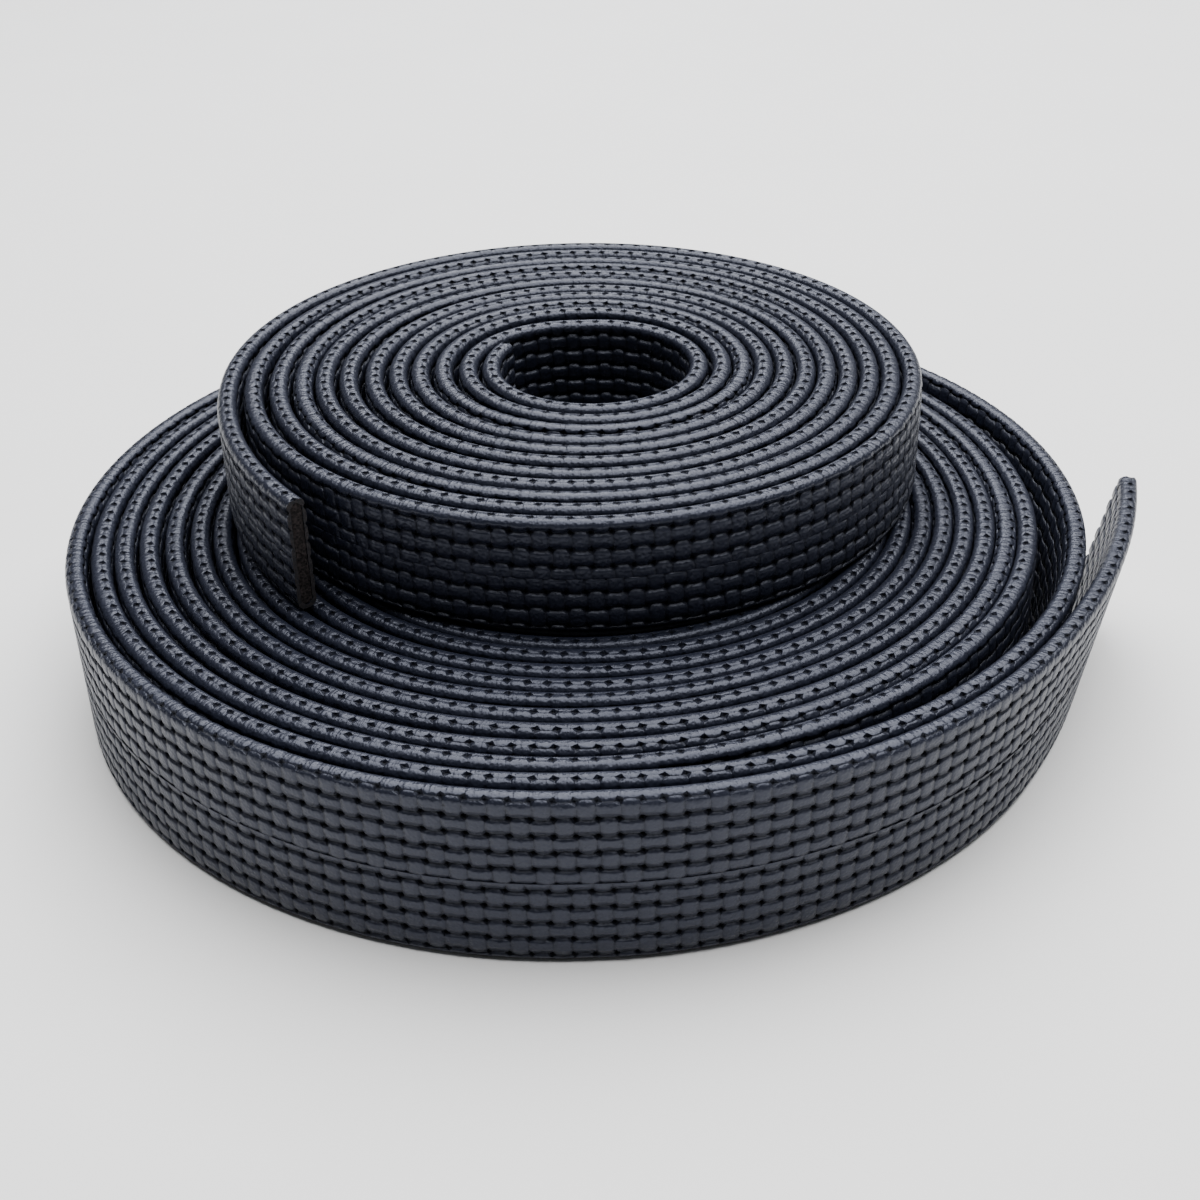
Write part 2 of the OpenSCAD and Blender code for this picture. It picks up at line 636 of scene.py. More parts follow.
@dataclass(frozen=True)
class Winding:
    """How a strap is wound: the sizes that its CAD path is worked out from."""

    eye: Vector
    eye_radius: float
    thickness: float
    tight: float
    loose: float
    slack: float
    slack_angle: float
    half_turns: int
    end_angle: float
    end_radius: float
    end_length: float
    bulge_turns: tuple[int, ...] = ()
    bulge_run: float = 0.0
    start_angle: float = 150.0
    slack_step: float = 137.0

    def steps(self) -> list[tuple[float, float, float]]:
        """Lists the places where the winding changes.

        Returns:
            Angle, growth in radius and straight run of each, in order of angle.
        """
        # The second turn steps over the strap's inner end
        steps = [(TURN + QUARTER, 0.0, self.loose), (TURN + 2 * QUARTER, self.loose, 0.0)]
        for k in range(self.half_turns):
            wave = math.sin(math.radians(self.slack_step * k + self.slack_angle))
            pitch = self.tight if k % 2 else self.loose + self.slack * wave
            steps.append(((2 + k / 2) * TURN, round(pitch / 2, 5), 0.0))
        for turn in self.bulge_turns:
            steps.append((turn * TURN - QUARTER, 0.0, self.bulge_run))
            steps.append((turn * TURN + QUARTER, 0.0, self.bulge_run))
        return sorted(steps, key=lambda step: step[0])

    def arcs(self) -> list[Arc]:
        """Chains the arcs of the strap, each tangent to the next.

        Returns:
            The roll's arcs from the inner end outwards, and then the loose end's.
        """
        centre, radius = self.eye.copy(), self.eye_radius + self.thickness / 2
        start, run, arcs = self.start_angle, 0.0, []
        for angle, growth, straight in self.steps():
            if angle >= self.end_angle:
                break
            arcs.append(Arc(centre.copy(), radius, start, angle, run))
            out = Vector((math.cos(math.radians(angle)), math.sin(math.radians(angle))))
            centre += straight * Vector((-out.y, out.x)) - growth * out
            radius += growth
            start, run = angle, straight
        arcs.append(Arc(centre.copy(), radius, start, self.end_angle, run))
        tip, out = arcs[-1].at(arcs[-1].length)
        hub = tip - self.end_radius * out
        swing = math.degrees(self.end_length / self.end_radius)
        arcs.append(Arc(hub, self.end_radius, self.end_angle, self.end_angle + swing))
        return arcs


class StrapPath:
    """The mid line of a whole strap, from its inner end to the tip of its loose end."""

    def __init__(self, winding: Winding) -> None:
        """Works the arcs out.

        Args:
            winding: How the strap is wound.
        """
        self.winding = winding
        self.arcs = winding.arcs()
        self.length = sum(arc.length for arc in self.arcs)
        self.hinge = self.length - self.arcs[-1].length

    def at(self, along: float) -> tuple[Vector, Vector]:
        """Finds a place on the strap.

        Args:
            along: Distance from the strap's inner end.

        Returns:
            The point, and the unit vector to the strap's outer face.
        """
        for arc in self.arcs[:-1]:
            if along <= arc.length:
                return arc.at(along)
            along -= arc.length
        return self.arcs[-1].at(along)

    def reach(self, angle: float) -> float:
        """Finds where along the strap it has turned to an angle.

        Args:
            angle: Angle about the roll, which grows by a turn with each turn.

        Returns:
            Distance from the strap's inner end.
        """
        along = 0.0
        for arc in self.arcs:
            if angle <= arc.end:
                return along + arc.run + arc.radius * math.radians(angle - arc.start)
            along += arc.length
        return along


# --------------------------------------------------------------------------
# The section of a strap
# --------------------------------------------------------------------------


class Open(Enum):
    """Which faces of a stretch of strap lie open to view, besides its edges."""

    NEITHER = "neither"
    INNER = "inner"
    OUTER = "outer"
    BOTH = "both"


@dataclass(frozen=True)
class StrapSection:
    """A rounded bar, X to the outer face and Y up, with a sheet folded round it.

    The sheet is measured from its upper lip at the seam, up the outer face, over the
    top edge, down the inner face and round the bottom edge to its lower lip.
    """

    width: float
    thickness: float
    edge_radius: float
    slit: float

    @property
    def sides(self) -> tuple[float, ...]:
        """Works out the lengths of the flat parts.

        Returns:
            Five lengths, from the upper lip round to the lower lip.
        """
        face = self.width - 2 * self.edge_radius
        edge = self.thickness - 2 * self.edge_radius
        lip = (face - self.slit) / 2
        return lip, edge, face, edge, lip

    @property
    def corner(self) -> float:
        """Length of the sheet round one corner."""
        return self.edge_radius * math.pi / 2

    @property
    def sheet(self) -> float:
        """Width of the sheet."""
        return sum(self.sides) + 4 * self.corner

    def starts(self) -> list[float]:
        """Lists where each flat part begins.

        Returns:
            Distances along the sheet from its upper lip.
        """
        starts = [0.0]
        for side in self.sides[:-1]:
            starts.append(starts[-1] + side + self.corner)
        return starts

    def at(self, sheet: float) -> tuple[Vector, Vector]:
        """Finds a place on the section.

        Args:
            sheet: Distance along the sheet from its upper lip.

        Returns:
            The point, and the unit vector out of the bar.
        """
        point = Vector((self.thickness / 2, self.slit / 2))
        normal = Vector((1.0, 0.0))
        for index, side in enumerate(self.sides):
            heading = Vector((-normal.y, normal.x))
            if sheet <= side or index == len(self.sides) - 1:
                return point + min(sheet, side) * heading, normal
            point += side * heading
            sheet -= side
            hub = point - self.edge_radius * normal
            turn = min(sheet, self.corner) / max(self.edge_radius, TINY)
            bent = Matrix.Rotation(turn, 2) @ normal
            if sheet < self.corner:
                return hub + self.edge_radius * bent, bent
            sheet -= self.corner
            point, normal = hub + self.edge_radius * bent, heading
        return point, normal

    def inset(self, depth: float) -> "StrapSection":
        """Makes the section that lies inside this one.

        Args:
            depth: Distance between the two.

        Returns:
            The smaller section, with its corners about the same centres.
        """
        return StrapSection(
            self.width - 2 * depth,
            self.thickness - 2 * depth,
            max(0.0, self.edge_radius - depth),
            self.slit,
        )


@dataclass(frozen=True)
class CoverSection:
    """The cover's own section: the sheet's outside, and its inside at its thickness."""

    bar: StrapSection
    sheet_thickness: float
    weave: BasketWeave
    lip_row: float  # from each lip to the first row of pits
    fine: float = 0.40 * MM  # between points where the relief shows
    bead: float = 0.48 * MM  # between points on a top edge
    foot: float = 1.25 * MM  # between points on a bottom edge
    pressed_outer: float = 8.0 * MM  # between points on an outer face out of view
    pressed_inner: float = 30.0 * MM  # between points on an inner face out of view
    bead_skirt: float = 1.7 * MM  # how far a bead's fine points run down its sides
    fold_relief: float = 0.15  # what is left of the relief where the sheet is folded
    lip_drop: float = 0.02 * MM
    lip_width: float = 0.08 * MM
    skew: float = 0.42  # cells by which the sheet's two lips are out of step

    @property
    def rows(self) -> int:
        """How many rows of cells the sheet has between its first and last rows of pits."""
        return round((self.bar.sheet - 2 * self.lip_row) / self.weave.cell)

    @property
    def row(self) -> float:
        """Height of a row of cells."""
        return (self.bar.sheet - 2 * self.lip_row) / self.rows

    def stations(self, faces: Open) -> list[float]:
        """Lists where the section has its points.

        Args:
            faces: Which faces lie open to view.

        Returns:
            Distances along the sheet, in order.
        """
        bar = self.bar
        starts, sides, end = bar.starts(), bar.sides, bar.sheet
        outer = self.fine if faces in (Open.OUTER, Open.BOTH) else self.pressed_outer
        inner = self.fine if faces in (Open.INNER, Open.BOTH) else self.pressed_inner
        top = (sides[0] - self.bead_skirt, starts[2] + self.bead_skirt)
        foot = (starts[2] + sides[2] - self.bead_skirt, starts[4] + self.bead_skirt)
        lip = self.lip_width / 2 if outer == self.fine else self.lip_width
        zones = (
            (0.0, self.lip_width, lip),
            (self.lip_width, top[0], outer),
            (*top, self.bead),
            (top[1], foot[0], inner),
            (*foot, self.foot if faces is Open.NEITHER else self.bead),
            (foot[1], end - self.lip_width, outer),
            (end - self.lip_width, end, lip),
        )
        stations = [0.0]
        for first, last, step in zones:
            count = math.ceil((last - first - TINY) / step)
            stations += [first + (last - first) * i / count for i in range(1, count + 1)]
        return stations

    def relief(self, sheet: float) -> float:
        """Works out how much of the relief is left where the sheet is folded.

        Args:
            sheet: Distance along the sheet from its upper lip.

        Returns:
            A share from 0 to 1, the least on the folds.
        """
        bar = self.bar
        height = abs(bar.at(sheet)[0].y)
        flat = bar.width / 2 - bar.edge_radius
        fade = min(1.0, max(0.0, (height - flat) / bar.edge_radius))
        return 1.0 - (1.0 - self.fold_relief) * fade * (2.0 - fade)

    def build(self, name: str, faces: Open) -> bpy.types.Object:
        """Makes the closed outline that is swept along a strap.

        Args:
            name: Name of the outline.
            faces: Which faces lie open to view.

        Returns:
            An object of joined points, which carry the sheet's own measurements.
        """
        points, normals, sheets, reliefs = [], [], [], []
        for sheet in self.stations(faces):
            point, normal = self.bar.at(sheet)
            lip = min(sheet, self.bar.sheet - sheet) / self.lip_width
            drop = self.lip_drop * max(0.0, 1.0 - lip) ** 2
            points.append(point - drop * normal)
            normals.append(normal)
            sheets.append(sheet)
            reliefs.append(self.relief(sheet))
        lining = self.bar.inset(self.sheet_thickness)
        corners = [0.0]
        for start, side in list(zip(lining.starts(), lining.sides))[:-1]:
            corners += [start + side, start + side + lining.corner]
        corners.append(lining.sheet)
        for sheet in reversed(corners):
            points.append(lining.at(sheet)[0])
            normals.append(Vector((0.0, 0.0)))
            sheets.append(0.0)
            reliefs.append(0.0)
        mesh = swept_outline(name, points)
        store_floats(mesh, SHEET, sheets[::-1])
        top = self.bar.sheet / 4
        skews = [self.skew * (sheet - top) / self.bar.sheet for sheet in reversed(sheets)]
        store_floats(mesh, SKEW, skews)
        store_floats(mesh, RELIEF, reliefs[::-1])
        facing = mesh.attributes.new(FACING, "FLOAT_VECTOR", "POINT")
        flat = [value for normal in reversed(normals) for value in (*normal, 0.0)]
        facing.data.foreach_set("vector", flat)
        return bpy.data.objects.new(name, mesh)


# --------------------------------------------------------------------------
# The node trees that sweep the sections
# --------------------------------------------------------------------------


def lean_in(
    tree: bpy.types.NodeTree, mesh: bpy.types.Node, middle: object, width: object
) -> bpy.types.Node:
    """Adds the nodes that lean a strap inwards at its foot, by its lean attribute.

    Args:
        tree: The geometry node tree.
        mesh: The node that gives the mesh.
        middle: Socket with the height of the strap's mid line.
        width: Socket with the strap's width.

    Returns:
        The node that moves the mesh.
    """
    add = partial(add_node, tree)
    height = add("ShaderNodeSeparateXYZ", add("GeometryNodeInputPosition")).outputs["Z"]
    rise = add(MATH, height, middle, operation="SUBTRACT")
    share = add(MATH, rise, width, operation="DIVIDE")
    above = add(MATH, share, 0.5, operation="SUBTRACT")
    lean = add(MATH, above, add(READ, LEAN), operation="MULTIPLY")
    outwards = add(READ, OUTWARDS, data_type="FLOAT_VECTOR")
    offset = add(VECTOR_MATH, outwards, named={"Scale": lean}, operation="SCALE")
    return add("GeometryNodeSetPosition", mesh, named={"Offset": offset})


class CoverTree:
    """A geometry tree that sweeps a cover's outline along a path and embosses it."""

    SEED = 7.3  # where the wandering begins to be read from its noise
    SETTLINGS = 3  # how often a strap's height changes in the span of one wandering
    WALL_CORNERS = 4.5  # a face in a wall has fewer corners than this, and an end has more

    def __init__(self, weave: BasketWeave) -> None:
        """Builds the tree.

        Args:
            weave: The weave that it embosses.
        """
        self.weave = weave
        self.tree = bpy.data.node_groups.new("sweep_embossed_cover", "GeometryNodeTree")
        self.add = partial(add_node, self.tree)
        self.inputs = add_inputs(
            self.tree,
            Path="Geometry",
            Outline="Object",
            Rings="Int",
            Start="Float",
            Cell_Length="Float",
            Row_Height="Float",
            First_Row="Float",
            Middle="Float",
            Width="Float",
            Settle="Float",
            Cover_Finish="Material",
            Cut_Finish="Material",
        ).outputs
        mesh = self.sweep()
        mesh = self.emboss(mesh)
        self.dress(mesh)

    def sweep(self) -> bpy.types.Node:
        """Adds the nodes that sweep the outline into a closed tube.

        Returns:
            The node that gives the smooth tube.
        """
        add, inputs = self.add, self.inputs
        curve = add("GeometryNodeMeshToCurve", inputs["Path"])
        curve = add("GeometryNodeResampleCurve", curve, None, inputs["Rings"])
        curve = add("GeometryNodeSetCurveNormal", curve, mode="Z_UP")
        length = add("GeometryNodeSplineParameter").outputs["Length"]
        along = add(MATH, length, inputs["Start"], operation="ADD")
        curve = add(STORE, curve, named={"Name": ALONG, "Value": along})
        normal = add("GeometryNodeInputNormal").outputs["Normal"]
        curve = add(
            STORE,
            curve,
            named={"Name": OUTWARDS, "Value": normal},
            data_type="FLOAT_VECTOR",
        )
        outline = add("GeometryNodeObjectInfo", inputs["Outline"]).outputs["Geometry"]
        outline = add("GeometryNodeMeshToCurve", outline)
        return add(
            "GeometryNodeCurveToMesh",
            curve,
            named={"Profile Curve": outline, "Fill Caps": True},
        )

    def emboss(self, mesh: bpy.types.Node) -> bpy.types.Node:
        """Adds the nodes that press the weave in and let the strap settle and lean.

        Args:
            mesh: The node that gives the smooth tube.

        Returns:
            The node that gives the embossed cover.
        """
        add, inputs, weave = self.add, self.inputs, self.weave
        along = add(READ, ALONG)
        sheet = add(READ, SHEET)
        relief = add(READ, RELIEF)
        facing = add(READ, FACING, data_type="FLOAT_VECTOR")
        outwards = add(READ, OUTWARDS, data_type="FLOAT_VECTOR")

        # The rows wander a little across the strap, because the sheet was folded by hand
        shifted = add(MATH, along, self.SEED, operation="ADD")
        wander = add(
            NOISE,
            named={"W": shifted, "Scale": 1 / weave.drift_span, "Detail": 1.0},
            noise_dimensions="1D",
        )
        drift = add("ShaderNodeMapRange", wander, *NOISE_RANGE, -weave.drift, weave.drift)
        moved = add(MATH, sheet, drift, operation="ADD")
        from_row = add(MATH, moved, inputs["First Row"], operation="SUBTRACT")
        row = add(MATH, from_row, inputs["Row Height"], operation="DIVIDE")
        straight = add(MATH, along, inputs["Cell Length"], operation="DIVIDE")
        cell = add(MATH, straight, add(READ, SKEW), operation="ADD")
        groove, pit = weave.depths(self.tree, cell, row)
        pit_relief = weave.pit_share(self.tree, relief)
        groove_drop = add(MATH, groove, weave.groove_depth, operation="MULTIPLY")
        pit_drop = add(MATH, pit, weave.pit_depth, operation="MULTIPLY")
        groove_drop = add(MATH, groove_drop, relief, operation="MULTIPLY")
        pit_drop = add(MATH, pit_drop, pit_relief, operation="MULTIPLY")
        drop = add(MATH, groove_drop, pit_drop, operation="ADD")
        inwards = add(MATH, drop, -1.0, operation="MULTIPLY")

        # The outline's X lies along the outward vector, and its Y along Z
        split = add("ShaderNodeSeparateXYZ", facing)
        sideways = add(MATH, split.outputs["X"], inwards, operation="MULTIPLY")
        upwards = add(MATH, split.outputs["Y"], inwards, operation="MULTIPLY")

        # Turns settle to slightly different heights, and an edge leans in at its foot
        height = add("ShaderNodeSeparateXYZ", add("GeometryNodeInputPosition")).outputs["Z"]
        rise = add(MATH, height, inputs["Middle"], operation="SUBTRACT")
        level = add(
            NOISE,
            named={"W": along, "Scale": self.SETTLINGS / weave.drift_span, "Detail": 2.0},
            noise_dimensions="1D",
        )
        sink = add("ShaderNodeMapRange", level, *NOISE_RANGE, 0.0, -1.0)
        sink = add(MATH, sink, inputs["Settle"], operation="MULTIPLY")
        upwards = add(MATH, rise, sink, upwards, operation="MULTIPLY_ADD")

        offset = add(VECTOR_MATH, outwards, named={"Scale": sideways}, operation="SCALE")
        lift = add("ShaderNodeCombineXYZ", named={"Z": upwards})
        offset = add(VECTOR_MATH, offset, lift, operation="ADD")
        place = add("ShaderNodeCombineXYZ", cell, row, relief)
        mesh = add(
            STORE, mesh, named={"Name": WEAVE, "Value": place}, data_type="FLOAT_VECTOR"
        )
        mesh = add("GeometryNodeSetPosition", mesh, named={"Offset": offset})
        return lean_in(self.tree, mesh, inputs["Middle"], inputs["Width"])

    def dress(self, mesh: bpy.types.Node) -> None:
        """Adds the nodes that smooth the faces and give them their finishes.

        Args:
            mesh: The node that gives the embossed cover.
        """
        add, inputs = self.add, self.inputs
        corners = add("GeometryNodeInputMeshFaceNeighbors").outputs["Vertex Count"]
        cap = add(MATH, corners, self.WALL_CORNERS, operation="GREATER_THAN")
        wall = add(MATH, corners, self.WALL_CORNERS, operation="LESS_THAN")
        mesh = add("GeometryNodeSetShadeSmooth", mesh, named={"Shade Smooth": wall})
        mesh = add("GeometryNodeRealizeInstances", mesh)
        mesh = add("GeometryNodeSetMaterial", mesh, None, inputs["Cover Finish"])
        mesh = add("GeometryNodeSetMaterial", mesh, cap, inputs["Cut Finish"])
        add("NodeGroupOutput", mesh)


class CoreTree:
    """A geometry tree that sweeps a foam bar and roughens its cut ends."""

    def __init__(self, grain: float, depth: float) -> None:
        """Builds the tree.

        Args:
            grain: Size of the crumbs on a cut end.
            depth: How far they stand out or in.
        """
        self.tree = bpy.data.node_groups.new("sweep_foam_core", "GeometryNodeTree")
        add = partial(add_node, self.tree)
        inputs = add_inputs(
            self.tree,
            Path="Geometry",
            Outline="Object",
            Middle="Float",
            Width="Float",
            Foam_Finish="Material",
        ).outputs
        curve = add("GeometryNodeMeshToCurve", inputs["Path"])
        curve = add("GeometryNodeSetCurveNormal", curve, mode="Z_UP")
        curve = add(
            STORE,
            curve,
            named={"Name": HEADING, "Value": add("GeometryNodeInputTangent")},
            data_type="FLOAT_VECTOR",
        )
        curve = add(
            STORE,
            curve,
            named={"Name": OUTWARDS, "Value": add("GeometryNodeInputNormal")},
            data_type="FLOAT_VECTOR",
        )
        outline = add("GeometryNodeObjectInfo", inputs["Outline"]).outputs["Geometry"]
        outline = add("GeometryNodeMeshToCurve", outline)
        mesh = add(
            "GeometryNodeCurveToMesh",
            curve,
            named={
                "Profile Curve": outline,
                "Scale": add(READ, SCALE),
                "Fill Caps": True,
            },
        )
        crumbs = add(NOISE, named={"Scale": 1 / grain, "Detail": 3.0})
        height = add("ShaderNodeMapRange", crumbs, *NOISE_RANGE, -depth, depth)
        height = add(MATH, height, add(READ, CUT), operation="MULTIPLY")
        heading = add(READ, HEADING, data_type="FLOAT_VECTOR")
        offset = add(VECTOR_MATH, heading, named={"Scale": height}, operation="SCALE")
        mesh = add("GeometryNodeSetPosition", mesh, named={"Offset": offset})
        mesh = lean_in(self.tree, mesh, inputs["Middle"], inputs["Width"])
        mesh = add("GeometryNodeSetShadeSmooth", mesh)
        mesh = add("GeometryNodeRealizeInstances", mesh)
        mesh = add("GeometryNodeSetMaterial", mesh, None, inputs["Foam Finish"])
        add("NodeGroupOutput", mesh)


# --------------------------------------------------------------------------
# A strap
# --------------------------------------------------------------------------


@dataclass(frozen=True)
class Stretch:
    """A stretch of cover, meshed as finely as it shows."""

    name: str
    first: float
    last: float
    faces: Open
    steps: int  # rings for each cell


@dataclass(frozen=True)
class Finishes:
    """The materials that the straps share."""

    cover: bpy.types.Material
    cut: bpy.types.Material
    foam: bpy.types.Material


@dataclass(frozen=True)
class Blend:
    """The bodies of a strap's roll and loose end, and two points either side of its hinge."""

    roll: str
    end: str
    start: Vector
    stop: Vector

    def apply(self, piece: bpy.types.Object) -> None:
        """Bakes a piece's transform into its mesh, where it stays."""
        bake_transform(piece)


@dataclass
class Strap:
    """One padded strap: its cover, its foam core, and the loose end they share."""

    name: str
    winding: Winding
    finishes: Finishes
    cover_tree: CoverTree
    core_tree: CoreTree
    lip_row: float
    hidden_to: float  # angle up to which another roll hides its edges
    edge_radius: float = 1.5 * MM
    cover_thickness: float = 0.7 * MM
    slit: float = 0.02 * MM
    core_gap: float = 0.04 * MM
    settle: float = 0.02  # most that a turn's height shrinks, as a share
    lean: float = 0.0  # most that the strap's foot leans inwards, on the right
    lean_from: float = 0.0  # angle from which it leans
    end_lean: float = 0.0  # how much more the foot leans at the loose end's tip
    root: float = 30.0 * MM  # length of the roll that is one piece with the loose end
    bend: float = 8.0 * MM  # half the span of the blend's two points about the hinge
    path_spacing: float = 0.8 * MM
    eye_turns: float = 1.08  # turns whose inner face shows in the eye
    outer_turns: float = 1.15  # turns before the loose end whose outer face shows
    face_steps: int = 8  # rings for each cell where a face shows
    edge_steps: int = 6  # where only the edges show, or the dark of the eye
    hidden_steps: int = 3  # where another roll hides them too
    core_spacing: tuple[float, float] = (3.0 * MM, 1.0 * MM)  # in the roll, in the end
    core_step: tuple[float, float] = (3.0 * MM, 0.5 * MM)  # round the core's outline
    core_face: tuple[float, ...] = (0.96, 0.88, 0.76, 0.62, 0.46, 0.30, 0.14, 0.02)
    core_creep: float = 0.012 * MM  # between the rings of a core's end face
    most_triangles: int = 180_000

    def __post_init__(self) -> None:
        """Works out what depends on the CAD nodes."""
        low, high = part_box(f"{self.name}_cover")
        self.width = high.z - low.z
        self.middle = (high.z + low.z) / 2
        self.path = StrapPath(self.winding)
        self.cells = round(self.path.length / self.cover_tree.weave.cell)
        self.cell = self.path.length / self.cells
        bar = StrapSection(self.width, self.winding.thickness, self.edge_radius, self.slit)
        self.section = CoverSection(
            bar, self.cover_thickness, self.cover_tree.weave, self.lip_row
        )
        point, out = self.path.at(self.path.hinge)
        heading = Vector((-out.y, out.x, 0.0))
        hinge = Vector((*point, self.middle))
        self.blend = Blend(
            f"{self.name}_roll",
            f"{self.name}_end",
            hinge - self.bend * heading,
            hinge + self.bend * heading,
        )

    def stretches(self) -> list[Stretch]:
        """Divides the cover into stretches, by which of its faces show.

        Returns:
            The stretches in order from the strap's inner end.
        """
        path, winding = self.path, self.winding
        first_turn = path.reach(winding.start_angle + self.eye_turns * TURN)
        last_turn = path.reach(winding.end_angle - self.outer_turns * TURN)
        hidden = max(first_turn, path.reach(self.hidden_to))
        root = path.hinge - self.root
        found = [Stretch("eye", 0.0, first_turn, Open.INNER, self.edge_steps)]
        if hidden > first_turn:
            steps = self.hidden_steps
            found.append(Stretch("hidden", first_turn, hidden, Open.NEITHER, steps))
        found += [
            Stretch("coil", hidden, last_turn, Open.NEITHER, self.edge_steps),
            Stretch("outer", last_turn, root, Open.OUTER, self.face_steps),
            Stretch("end", root, path.length, Open.BOTH, self.face_steps),
        ]
        return found

    def build_cover(self) -> None:
        """Builds the cover, stretch by stretch."""
        outlines = {}
        for stretch in self.stretches():
            if stretch.faces not in outlines:
                name = f"{self.name}_outline_{stretch.faces.value}"
                outlines[stretch.faces] = self.section.build(name, stretch.faces)
            outline = outlines[stretch.faces]
            first = round(stretch.first / self.cell)
            last = round(stretch.last / self.cell)
            around = len(outline.data.vertices)
            triangles = 2 * (last - first) * stretch.steps * around
            parts = math.ceil(triangles / self.most_triangles)
            for part in range(parts):
                start = first + (last - first) * part // parts
                stop = first + (last - first) * (part + 1) // parts
                name = f"{self.name}_cover_{stretch.name}_{part + 1}"
                self.build_cover_part(name, outline, start, stop, stretch)

    def build_cover_part(
        self, name: str, outline: bpy.types.Object, start: int, stop: int, stretch: Stretch
    ) -> None:
        """Builds one piece of the cover.

        Args:
            name: The piece's name.
            outline: The cover's outline.
            start: The cell that it begins at.
            stop: The cell that it ends at.
            stretch: The stretch that it is part of.
        """
        first, last = start * self.cell, stop * self.cell
        count = math.ceil((last - first) / self.path_spacing)
        places = [first + (last - first) * i / count for i in range(count + 1)]
        piece = run_tree(
            name,
            self.path_mesh(name, places),
            self.cover_tree.tree,
            {
                "Outline": outline,
                "Rings": (stop - start) * stretch.steps + 1,
                "Start": first,
                "Cell Length": self.cell,
                "Row Height": self.section.row,
                "First Row": self.section.lip_row,
                "Middle": self.middle,
                "Width": self.width,
                "Settle": self.settle,
                "Cover Finish": self.finishes.cover,
                "Cut Finish": self.finishes.cut,
            },
        )
        self.attach(piece, "cover", stretch.name == "end")

    def build_core(self) -> None:
        """Builds the foam core: one piece in the roll, and one in the loose end."""
        bar = StrapSection(self.width, self.winding.thickness, self.edge_radius, 0.0)
        bar = bar.inset(self.cover_thickness + self.core_gap)
        root = self.path.hinge - self.root
        for part, first, last, spacing, step in zip(
            ("roll", "end"),
            (0.0, root),
            (root, self.path.length),
            self.core_spacing,
            self.core_step,
        ):
            count = round(bar.sheet / step)
            outline_mesh = swept_outline(
                f"{self.name}_core_outline_{part}",
                [bar.at(bar.sheet * i / count)[0] for i in range(count)],
            )
            outline = bpy.data.objects.new(outline_mesh.name, outline_mesh)
            name = f"{self.name}_core_{part}"
            mesh = self.core_path(name, first, last, spacing)
            piece = run_tree(
                name,
                mesh,
                self.core_tree.tree,
                {
                    "Outline": outline,
                    "Middle": self.middle,
                    "Width": self.width,
                    "Foam Finish": self.finishes.foam,
                },
            )
            self.attach(piece, "core", part == "end")

    def core_path(self, name: str, first: float, last: float, spacing: float) -> bpy.types.Mesh:
        """Makes the path of a core, with rings that close in on each end face.

        Args:
            name: The core's name.
            first: Where the core begins along the strap.
            last: Where it ends.
            spacing: Distance between its rings.

        Returns:
            A chain of points that carry the rings' scales.
        """
        creep = self.core_creep
        recess = creep * (len(self.core_face) + 2)
        count = math.ceil((last - first - 2 * recess) / spacing)
        step = (last - first - 2 * recess) / count
        places = [first + recess + step * i for i in range(count + 1)]
        scales, cuts = [1.0] * len(places), [0.0] * len(places)
        for scale in self.core_face:
            places = [places[0] - creep, *places, places[-1] + creep]
            scales = [scale, *scales, scale]
            cuts = [1.0, *cuts, 1.0]
        mesh = self.path_mesh(name, places)
        store_floats(mesh, SCALE, scales)
        store_floats(mesh, CUT, cuts)
        return mesh

    def path_mesh(self, name: str, places: list[float]) -> bpy.types.Mesh:
        """Makes the path of a piece, which also carries how far it leans.

        Args:
            name: The piece's name.
            places: Distances along the strap.

        Returns:
            A chain of points on the strap's mid line.
        """
        points = [Vector((*self.path.at(place)[0], self.middle)) for place in places]
        mesh = chain_mesh(name + "_path", points)
        path, leans = self.path, []
        upright = path.reach(self.lean_from)
        for place in places:
            facing_right = max(0.0, path.at(place)[1].x) if place > upright else 0.0
            free = max(0.0, place - path.hinge) / (path.length - path.hinge)
            leans.append(self.lean * facing_right + self.end_lean * free)
        store_floats(mesh, LEAN, leans)
        return mesh

    def attach(self, piece: bpy.types.Object, kind: str, is_end: bool) -> None:
        """Fixes a piece to its body, or for the loose end bakes its transform in, and hides its
        CAD node.

        Args:
            piece: The finished piece.
            kind: Either cover or core.
            is_end: True for a piece that reaches into the loose end.
        """
        if is_end:
            self.blend.apply(piece)
            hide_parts(f"{self.name}_end_{kind}")
        else:
            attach(piece, f"{self.name}_roll")
            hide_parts(f"{self.name}_{kind}")
        log.info("%s: %d faces", piece.name, len(piece.data.polygons))

    def build(self) -> None:
        """Builds the whole strap."""
        self.build_cover()
        self.build_core()


# --------------------------------------------------------------------------
# The studio
# --------------------------------------------------------------------------


@dataclass(frozen=True)
class SoftLight:
    """A square soft light that faces the rolls."""

    name: str
    place: Vector
    size: float
    power: float  # watts
    tint: str
    target: Vector = Vector((0.0, 0.0, 20.0)) * MM

    def hang(self) -> None:
        """Hangs the light in its place and turns it to the rolls."""
        data = bpy.data.lights.new(self.name, "AREA")
        data.size = self.size
        data.energy = self.power
        data.color = linear(self.tint)[:3]
        light = bpy.data.objects.new(self.name, data)
        bpy.context.scene.collection.objects.link(light)
        turn = (self.target - self.place).to_track_quat("-Z", "Y").to_matrix().to_4x4()
        light.matrix_world = Matrix.Translation(self.place) @ turn


